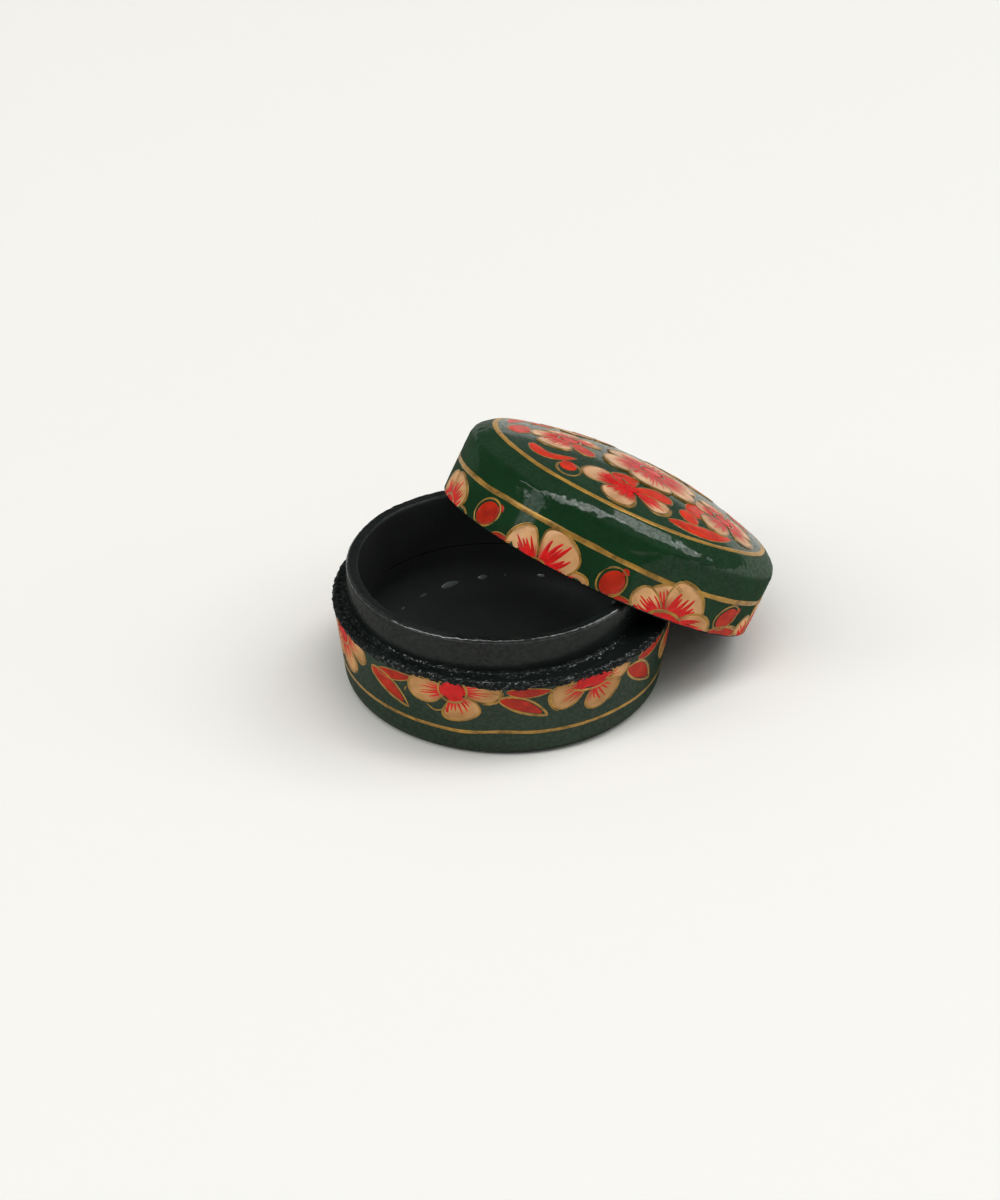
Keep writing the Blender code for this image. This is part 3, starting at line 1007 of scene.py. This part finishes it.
class BOX_OT_floor_bead(bpy.types.Operator):
    """Broken bead of lacquer that has run into the corner of the hollow's floor, pale grey as
    painted glints
    """
    bl_idname = "box.floor_bead"
    bl_label = "Floor bead"

    def execute(self, context):
        s = sizes()
        radius = s.neck_bore - 1.5 * MM
        deep = s.floor_round + 0.72 * MM
        clear_selection()
        bpy.ops.mesh.primitive_torus_add(location=(0.0, 0.0, 0.0), major_segments=720,
                                         minor_segments=24, major_radius=radius,
                                         minor_radius=0.9 * MM)
        piece = context.object
        piece.name = piece.data.name = "floor_bead"
        for vertex in piece.data.vertices:
            way = Vector((vertex.co.x, vertex.co.y, 0.0)).normalized()
            middle = way * radius
            # The bead only shows where it swells into drops
            turn = math.atan2(way.y, way.x)
            full = 0.66 + 0.05 * bumps(middle, 0.5)
            for drop, length, swell in FLOOR_DROPS:
                apart = (math.degrees(turn) - drop + 180.0) % 360.0 - 180.0
                full += swell * math.exp(-(apart / length) ** 2)
            # It lies deeper in the floor's curve on one side than on the other
            slope = math.radians(42.0 + 25.0 * math.cos(turn - math.radians(190.0)))
            place = way * (s.neck_bore - s.floor_round + deep * math.cos(slope))
            place.z = s.floor_height + s.floor_round - deep * math.sin(slope)
            vertex.co = hand_made(place + (vertex.co - middle) * full + NECK_CENTRE, BASE_SEED)
        bpy.ops.object.shade_smooth()
        # The drops' pale grey is painted glint
        piece.data.materials.append(paints()["bead_lacquer_painted_glint"])
        finish_piece(piece, "base", "base_lacquer")
        return {"FINISHED"}


class BOX_OT_shoulder(bpy.types.Operator):
    """Rough lacquer that runs from the neck's foot over the shoulder's edge"""
    bl_idname = "box.shoulder"
    bl_label = "Shoulder lacquer"

    def execute(self, context):
        s = sizes()
        rows, segments = 44, 1080
        piece = grid_copy(rows, segments)
        piece.name = piece.data.name = "shoulder_lacquer"
        side = follow([p for p in base_side() if p[1] < s.body_height], 1)
        for vertex in piece.data.vertices:
            turn = math.tau * round((vertex.co.y + 0.5) * segments) / segments
            vertex.co = self.rough(turn, vertex.co.x + 0.5, side)
        clear_grids()
        thicken(piece, ROUGH_DEPTH)
        bpy.ops.object.shade_smooth()
        piece.data.materials.append(paints()["rough_lacquer"])
        finish_piece(piece, "base", "base_lacquer")
        return {"FINISHED"}

    def rough(self, turn, share, side):
        """The lacquer at an angle, from the neck (share 0) to its torn edge on the side (1)."""
        s = sizes()
        top, edge, coat = s.body_height, s.body_radius, s.coat
        way = Vector((math.cos(turn), math.sin(turn)))
        off = way.x * NECK_CENTRE.y - way.y * NECK_CENTRE.x
        neck = way.dot(NECK_CENTRE.xy) + math.sqrt(s.neck_radius ** 2 - off ** 2)
        place = way.to_3d() * edge
        climb = (0.9 + 0.5 * bumps(place, 2.2, 7.0, 0.0, 0.0)) * MM
        drop = (1.35 + 0.35 * bumps(place, 3.0, 0.0, 9.0, 0.0) + 0.40 * bumps(place, 0.8)) * MM
        ridge = (0.30 + 0.16 * bumps(place, 1.6, 3.0, 3.0, 0.0)) * MM
        low = side(top - drop)[0].x
        # Radius and height along its section, and the share of the lumps there
        section = [(neck - 0.05 * MM, top + climb, -0.02),
                   (neck + 0.25 * MM, top + climb * 0.5, 0.6),
                   (neck + 0.8 * MM, top + 0.22 * MM, 1.2), (neck + 1.5 * MM, top + coat, 1.2),
                   (edge - 1.1 * MM, top + ridge, 1.0), (edge - 0.45 * MM, top + ridge * 0.9, 1.0),
                   (edge + coat * 0.8, top - 0.30 * MM, 1.0),
                   (side(top - 0.9 * MM)[0].x + coat, top - 0.75 * MM, 0.9),
                   (low + coat, top - drop + 0.2 * MM, 0.7), (low - 0.06 * MM, top - drop, 0.0)]
        value = share * (len(section) - 1)
        index = min(int(value), len(section) - 2)
        before, after = Vector(section[index]), Vector(section[index + 1])
        spot = before.lerp(after, value - index)
        slope = (after - before).xy.normalized()
        here = Vector((way.x * spot.x, way.y * spot.x, spot.y))
        lumps = max(bumps(here, 0.95) + 0.9 * bumps(here, 0.50), -0.35) * 0.21 * MM * spot.z
        radius = spot.x + abs(slope.y) * lumps
        height = spot.y + abs(slope.x) * lumps
        return hand_made(Vector((way.x * radius, way.y * radius, height)), BASE_SEED)


class BOX_OT_lid_body(bpy.types.Operator):
    """Domed lid: green outside, black on the rim and inside"""
    bl_idname = "box.lid_body"
    bl_label = "Lid"

    def execute(self, context):
        s = sizes()
        thickness, ceiling_round = 2.0 * MM, 3.0 * MM
        ceiling_height = s.lid_crown_height - thickness
        ceiling_edge = s.lid_bore - ceiling_round
        bore_top = ceiling_height - ceiling_round
        inside = rounded((s.lid_rim, 0.0), (s.lid_bore, 0.0), (s.lid_bore, bore_top), 0.5 * MM, 6)
        inside += run(inside[-1], (s.lid_bore, bore_top), 5)
        inside += arc((ceiling_edge, bore_top), (ceiling_round, ceiling_round), 0.0, 90.0)
        inside += domed(ceiling_edge, ceiling_height, s.lid_crown_rise, 10)[-2::-1]
        piece = ring_by_ring("lid_body", lid_outside() + inside, 800)
        lacquer = piece.data.attributes.new("lacquer", "FLOAT", "POINT")
        for vertex, thick in zip(piece.data.vertices, lacquer.data):
            thick.value = fade(vertex.co.z, THICK_HEIGHT, THICK_FADE)
            vertex.co = hand_made(vertex.co, LID_SEED) + lid_lumps(vertex.co)
        smooth(piece)
        stock = paints()

        def choose(face):
            spot, slope = face.center, face.normal
            outwards = slope.x * spot.x + slope.y * spot.y
            under = spot.z < 0.28 * MM or slope.z < -0.3
            if under or (outwards < 0.0 and spot.z < ceiling_height):
                return 1
            return 2 if slope.z > 0.7 and math.hypot(spot.x, spot.y) < 28.4 * MM else 0
        paint_faces(piece, [stock["lid_green"], stock["black_lacquer"], stock["crown_green"]],
                    choose)
        settle(piece, lid_pose())
        finish_piece(piece, "lid", "lid_lacquer", "lid_shell")
        return {"FINISHED"}


class BOX_OT_side_flowers(bpy.types.Operator):
    """Flowers, leaves and buds round the sides of base and lid"""
    bl_idname = "box.side_flowers"
    bl_label = "Side flowers"

    def execute(self, context):
        self.lid()
        self.base()
        return {"FINISHED"}

    def lid(self):
        brush = Brush("lid_side", LID_BRUSH)
        for turn, (height, disc, stretch, ring, petals) in LID_FLOWERS.items():
            flower(brush, around(turn), height, petals, disc, ring, stretch)
        for turn in LID_HIDDEN:
            flower(brush, around(turn), -1.4, FIVE[:3], disc=2.1, ring=0.6, stretch=1.2)
        for turn, (height, lean, length, width) in LID_BUDS.items():
            brush.bud(around(turn), height, lean, length, width)
        brush.leaf((around(-49.0), 0.3), (around(-28.0), 0.9), 1.7, 0.04)
        for turn in (-133.0, -86.0, 2.0, 55.0, 107.0, 158.0):
            brush.leaf((around(turn - 5.0), 0.2), (around(turn + 4.0), 0.7), 1.0, 0.03, 0.25)
        brush.line("gold", bowed((around(-38.0), 2.4), (around(-27.0), 1.2), 0.06), 0.35)
        for piece in brush.pieces("lid_side_", "side_", "buds", ((0.40 * MM, True),), lid_pose()):
            finish_piece(piece, "lid", "lid_lacquer")

    def base(self):
        brush = Brush("base_side", BASE_BRUSH, 5, 0.80, 0.10)
        for start, low, end, high, width in BASE_STROKES:
            brush.leaf((around(start), low), (around(end), high), width, -0.03, 0.3, 0.15)
        for start, high, end, low, width in BASE_LEAVES:
            brush.leaf((around(start), high), (around(end), low), width, 0.05, 0.60, 0.6, 1.1)
        for turn, (height, disc, stretch, ring, petals) in BASE_FLOWERS.items():
            flower(brush, around(turn), height, petals, disc, ring, stretch)
        for turn in BASE_HIDDEN:
            flower(brush, around(turn), 15.2, (FIVE[1], FIVE[3], FIVE[4]), disc=2.2, ring=0.6)
        brush.hoop(around(-93.0), 14.0, 1.2, 1.0, 0.0, 0.4, 110.0, -0.62)
        brush.line("gold", bowed((around(-117.0), 10.6), (around(-110.5), 10.0), -0.25), 0.4)
        brush.line("gold", bowed((around(-125.5), 11.6), (around(-124.0), 13.0), 0.1), 0.3)
        for piece in brush.pieces("base_", "base_", trim=((16.7 * MM, False),)):
            finish_piece(piece, "base", "base_lacquer")


class BOX_OT_crown_flowers(bpy.types.Operator):
    """Flowers, leaves and buds on the lid's crown"""
    bl_idname = "box.crown_flowers"
    bl_label = "Crown flowers"

    def execute(self, context):
        brush = Brush("crown", CROWN_BRUSH, 7, 0.92, 0.085)
        for start, end, width, bow in (((4.5, -24.2), (19.2, -15.4), 3.8, -0.10),
                                       ((-22.3, -9.0), (-13.3, -12.6), 2.9, -0.40),
                                       ((18.5, 17.5), (6.0, 24.6), 2.4, -0.10),
                                       ((-25.4, 4.5), (-16.5, 19.5), 2.4, 0.10),
                                       ((24.6, -1.0), (20.6, 12.4), 2.4, 0.08)):
            brush.leaf(start, end, width, bow, 0.28, 0.15)
        brush.leaf((-24.4, -3.8), (-23.0, 4.6), 4.4, 0.0, 0.4)
        brush.leaf((9.8, -17.0), (12.4, -8.8), 4.3, 0.0, 0.28, 0.2)
        brush.leaf((3.0, 20.5), (-1.0, 26.3), 3.4, 0.0, 0.4)
        brush.disc(-15.3, -17.4, 1.7, 1.25, 90.0, ring=0)
        brush.hoop(-15.2, -18.7, 2.3, 1.25, 90.0, 0.6, 30.0, 0.84)
        brush.disc(9.4, -18.2, 2.1, 1.1, 90.0, ring=0.25, ring_radius=2.15)
        for x, y, radius in ((22.4, 4.0, 1.9), (1.8, 18.4, 1.9), (-18.6, 11.6, 2.0)):
            brush.disc(x, y, radius, 1.1, 90.0, ring=0.5, ring_radius=radius + 0.7)
        # Outer flowers, then the middle one over them
        flower(brush, -14.5, -1.5, ((165.0, 7.4, 6.2), (100.0, 7.4, 6.2), (30.0, 6.4, 5.4),
                                    (237.0, 8.4, 7.0)), disc=1.6)
        brush.level = 0.08
        brush.petal(-14.5, -1.5, 296.0, 8.6, 3.8, red=True)
        brush.level = 0.0
        flower(brush, 11.5, 14.0, ((10.0, 8.0, 6.4), (82.0, 8.2, 6.6), (154.0, 8.0, 6.4),
                                   (226.0, 6.6, 5.6), (298.0, 7.6, 6.2)), disc=1.7)
        flower(brush, -9.5, 15.5, ((30.0, 7.8, 6.0), (100.0, 8.2, 6.6), (172.0, 8.2, 6.6),
                                   (244.0, 7.8, 6.2), (318.0, 6.6, 5.4)), disc=1.7)
        flower(brush, 17.5, -8.0, ((180.0, 6.4, 5.0), (110.0, 7.4, 6.0), (38.0, 7.4, 6.2),
                                   (327.0, 7.2, 6.0), (251.0, 9.7, 6.0)), disc=1.6)
        self.large_flower(brush)
        flower(brush, 2.0, -3.6, ((75.0, 9.6, 7.6), (138.0, 9.8, 7.4), (15.0, 9.8, 7.2),
                                  (200.0, 10.4, 7.6), (322.0, 10.4, 6.8), (264.0, 9.8, 8.6)),
               disc=1.9, level=0.14)
        for piece in brush.pieces("crown_", "crown_", matrix=lid_pose()):
            finish_piece(piece, "lid", "lid_lacquer")
        return {"FINISHED"}

    def large_flower(self, brush):
        """The flower nearest the viewer, with two of its petals red."""
        x, y = -2.8, -18.2
        brush.level = 0.02
        brush.petal(x, y, 172.0, 9.9, 6.6, fan=(6, 0.80, 0.18))
        brush.disc(-5.4, -17.4, 2.4, 1.2, 165.0, "streaks", 0.030, ring=0)
        brush.petal(x, y, 112.0, 5.8, 5.8, root=0.4, red=True, heavy=0.0)
        brush.petal(x, y, 332.0, 8.6, 6.0, fan=(5, 1.0, 0.22), heavy=0.9)
        brush.petal(x, y, 16.0, 8.8, 4.4, root=0.4, red=True, heavy=0.0)
        brush.petal(x, y, 244.0, 8.8, 7.0, fan=(6, 0.82, 0.10), heavy=0.5)
        brush.disc(x - 0.2, y - 0.4, 1.3, 1.2, 90.0, "streaks", 0.036, ring=0)
        brush.line("gold", bowed((x - 2.2, y + 3.2), (x + 1.0, y + 0.2), -0.12), 0.35)
        brush.level = 0.0


class BOX_OT_gold_lines(bpy.types.Operator):
    """Gold lines round the base, the lid's side and its crown"""
    bl_idname = "box.gold_lines"
    bl_label = "Gold lines"

    def execute(self, context):
        pose = lid_pose()
        for kind, name, body, slot, levels, width, matrix in (
                ("base_side", "base_gold_line", "base", "base_lacquer", BASE_LINE, 0.86, None),
                ("lid_side", "lid_gold_line", "lid", "lid_lacquer", LID_LINE, 1.15, pose),
                ("crown", "crown_gold_line", "lid", "lid_lacquer", CROWN_LINE, 1.16, pose)):
            brush = Brush(kind, LINE_BRUSH)
            brush.lay("gold", self.hoop(kind, levels, width), LINE, 360, True)
            # The crown's line takes the lighter gold with its painted light
            finish = "ring_gold_painted_highlight" if kind == "crown" else "side_gold"
            finish_piece(brush.gather("gold", name, finish, (), matrix), body, slot)
        return {"FINISHED"}

    def hoop(self, kind, levels, width):
        """A line all round, drawn through its levels at even steps, which swells a little."""
        def level_at(turn):
            place = (turn / math.tau % 1.0) * len(levels)
            step = int(place) % len(levels)
            part = 0.5 - 0.5 * math.cos(math.pi * (place - int(place)))
            return levels[step] * (1.0 - part) + levels[(step + 1) % len(levels)] * part

        def shape(across, along):
            turn = -math.tau * along if kind == "crown" else math.tau * (along - 0.5)
            round_about = Vector((math.cos(turn), math.sin(turn), 0.0))
            wide = width * (1.0 + 0.22 * noise.noise(round_about * 7.0))
            wide += 0.16 * noise.noise(round_about * 40.0 + Vector((0.0, 0.0, across * 3.0)))
            spot = level_at(turn) - across * wide / 2.0
            if kind == "crown":
                return spot * math.cos(turn), spot * math.sin(turn)
            return SIDE_CIRCLE * turn, spot
        return shape


# The floor's width and how far it lies below the box, in metres, and the light all round
FLOOR_WIDTH, FLOOR_GAP, WORLD_STRENGTH = 6.0, 0.00002, 0.27
# A bent strip of lamps that comes from the left, passes overhead and runs off to the right: its
# bends, and each run's width and its strength in watts a square metre
STRIP_BENDS = ((-4.60, -0.70, 2.05), (-1.50, -1.25, 2.05), (-0.25, -0.70, 2.05),
               (0.95, 0.50, 2.05), (3.00, 0.25, 2.05), (5.30, 0.90, 2.05))
STRIP_WIDTHS = (0.50, 0.60, 0.75, 1.80, 2.40)
STRIP_STRENGTHS = (18.5, 13.9, 9.9, 7.9, 6.4)
# A tall window on the left: its foot, top, width and strength
WINDOW = ((-2.11, -0.92, 0.70), (-2.11, -0.92, 1.35), 0.56, 7.5)

# The camera looks down by its tilt and is turned by its roll, in degrees. In millimetres: the
# height of the place it looks at, its shift to the right and up, its distance, film and lens
CAMERA_TILT, CAMERA_ROLL = 32.041, -0.443
CAMERA_AIM, CAMERA_RIGHT, CAMERA_UP, CAMERA_DISTANCE = 15.0, -0.584, 0.577, 1131.014
CAMERA_FILM, CAMERA_LENS = 36.0, 216.0


class BOX_OT_stage(bpy.types.Operator):
    """Pale floor, soft light and the camera"""
    bl_idname = "box.stage"
    bl_label = "Stage"

    def execute(self, context):
        self.floor()
        self.lights(context)
        self.camera(context)
        return {"FINISHED"}

    def floor(self):
        """A plain pale floor just under the box."""
        clear_selection()
        bpy.ops.mesh.primitive_plane_add(size=FLOOR_WIDTH, location=(0.0, 0.0, -FLOOR_GAP))
        floor = bpy.context.object
        floor.name = "floor"
        pale = bpy.data.materials.new("pale_floor")
        pale.use_nodes = True
        set_inputs(pale.node_tree.nodes["Principled BSDF"],
                   {"Base Color": (*colours().floor, 1.0), "Roughness": 0.9,
                    "Specular IOR Level": 0.0})
        floor.data.materials.append(pale)
        bpy.ops.object.transform_apply(location=True, rotation=True, scale=True)

    def lights(self, context):
        """A white world, the strip overhead and the window."""
        world = bpy.data.worlds.new("studio")
        context.scene.world = world
        world.use_nodes = True
        set_inputs(world.node_tree.nodes["Background"],
                   {"Color": (1.0, 1.0, 1.0, 1.0), "Strength": WORLD_STRENGTH})
        runs = zip(STRIP_BENDS, STRIP_BENDS[1:], STRIP_WIDTHS, STRIP_STRENGTHS)
        for number, lamp in enumerate(runs):
            self.lamp("strip_%d" % number, *lamp)
        self.lamp("window", *WINDOW)

    def lamp(self, name, start, end, width, strength):
        """A flat lamp from start to end, turned to the box."""
        start, end = Vector(start), Vector(end)
        clear_selection()
        bpy.ops.object.light_add(type="AREA", location=(start + end) / 2.0)
        light = bpy.context.object
        light.name = name
        light.data.shape = "RECTANGLE"
        light.data.size = (end - start).length
        light.data.size_y = width
        light.data.energy = strength * (end - start).length * width
        along = (end - start).normalized()
        back = (start + end) / 2.0 - Vector((0.0, 0.0, 0.02))
        back = (back - along * back.dot(along)).normalized()
        turn = Matrix((along, back.cross(along), back)).transposed()
        light.rotation_euler = turn.to_euler()

    def camera(self, context):
        """The camera looks at the box from the photograph's height, on a long lens."""
        tilt, roll = math.radians(CAMERA_TILT), math.radians(CAMERA_ROLL)
        right = Vector((1.0, 0.0, 0.0))
        up = Vector((0.0, math.sin(tilt), math.cos(tilt)))
        ahead = Vector((0.0, math.cos(tilt), -math.sin(tilt)))
        view_right = right * math.cos(roll) - up * math.sin(roll)
        view_up = right * math.sin(roll) + up * math.cos(roll)
        place = Vector((0.0, 0.0, CAMERA_AIM * MM)) - ahead * CAMERA_DISTANCE * MM
        place += view_right * CAMERA_RIGHT * MM + view_up * CAMERA_UP * MM
        bpy.ops.object.camera_add(location=place)
        camera = bpy.context.object
        camera.name = "camera"
        turn = Matrix((view_right, view_up, -ahead)).transposed()
        camera.rotation_euler = turn.to_euler()
        camera.data.sensor_fit = "HORIZONTAL"
        camera.data.sensor_width = CAMERA_FILM
        camera.data.lens = CAMERA_LENS
        camera.data.clip_start = 0.05
        camera.data.clip_end = 20.0
        context.scene.camera = camera
        context.scene.view_settings.view_transform = "Standard"


STEPS = (BOX_OT_base_body, BOX_OT_neck, BOX_OT_floor_bead, BOX_OT_shoulder, BOX_OT_lid_body,
         BOX_OT_side_flowers, BOX_OT_crown_flowers, BOX_OT_gold_lines, BOX_OT_stage)


class BOX_PT_panel(bpy.types.Panel):
    """Lists the box's sizes, colours and pieces"""
    bl_idname = "BOX_PT_panel"
    bl_label = "Painted box"
    bl_space_type = "VIEW_3D"
    bl_region_type = "UI"
    bl_category = "Box"

    def draw(self, context):
        for group in (context.scene.box_sizes, context.scene.box_colours):
            for name in group.__annotations__:
                self.layout.prop(group, name)
        for step in STEPS:
            self.layout.operator(step.bl_idname)


CLASSES = (BoxSizes, BoxColours, *STEPS, BOX_PT_panel)


def register():
    # Without a seed of its own the vector noise would differ from run to run
    noise.seed_set(NOISE_SEED)
    for item in CLASSES:
        bpy.utils.register_class(item)
    bpy.types.Scene.box_sizes = bpy.props.PointerProperty(type=BoxSizes)
    bpy.types.Scene.box_colours = bpy.props.PointerProperty(type=BoxColours)


def unregister():
    del bpy.types.Scene.box_sizes
    del bpy.types.Scene.box_colours
    for item in reversed(CLASSES):
        bpy.utils.unregister_class(item)


def main():
    register()
    for step in STEPS:
        group, name = step.bl_idname.split(".")
        if getattr(getattr(bpy.ops, group), name)() != {"FINISHED"}:
            raise RuntimeError(f"{step.bl_idname} did not finish")


if __name__ == "__main__":
    main()
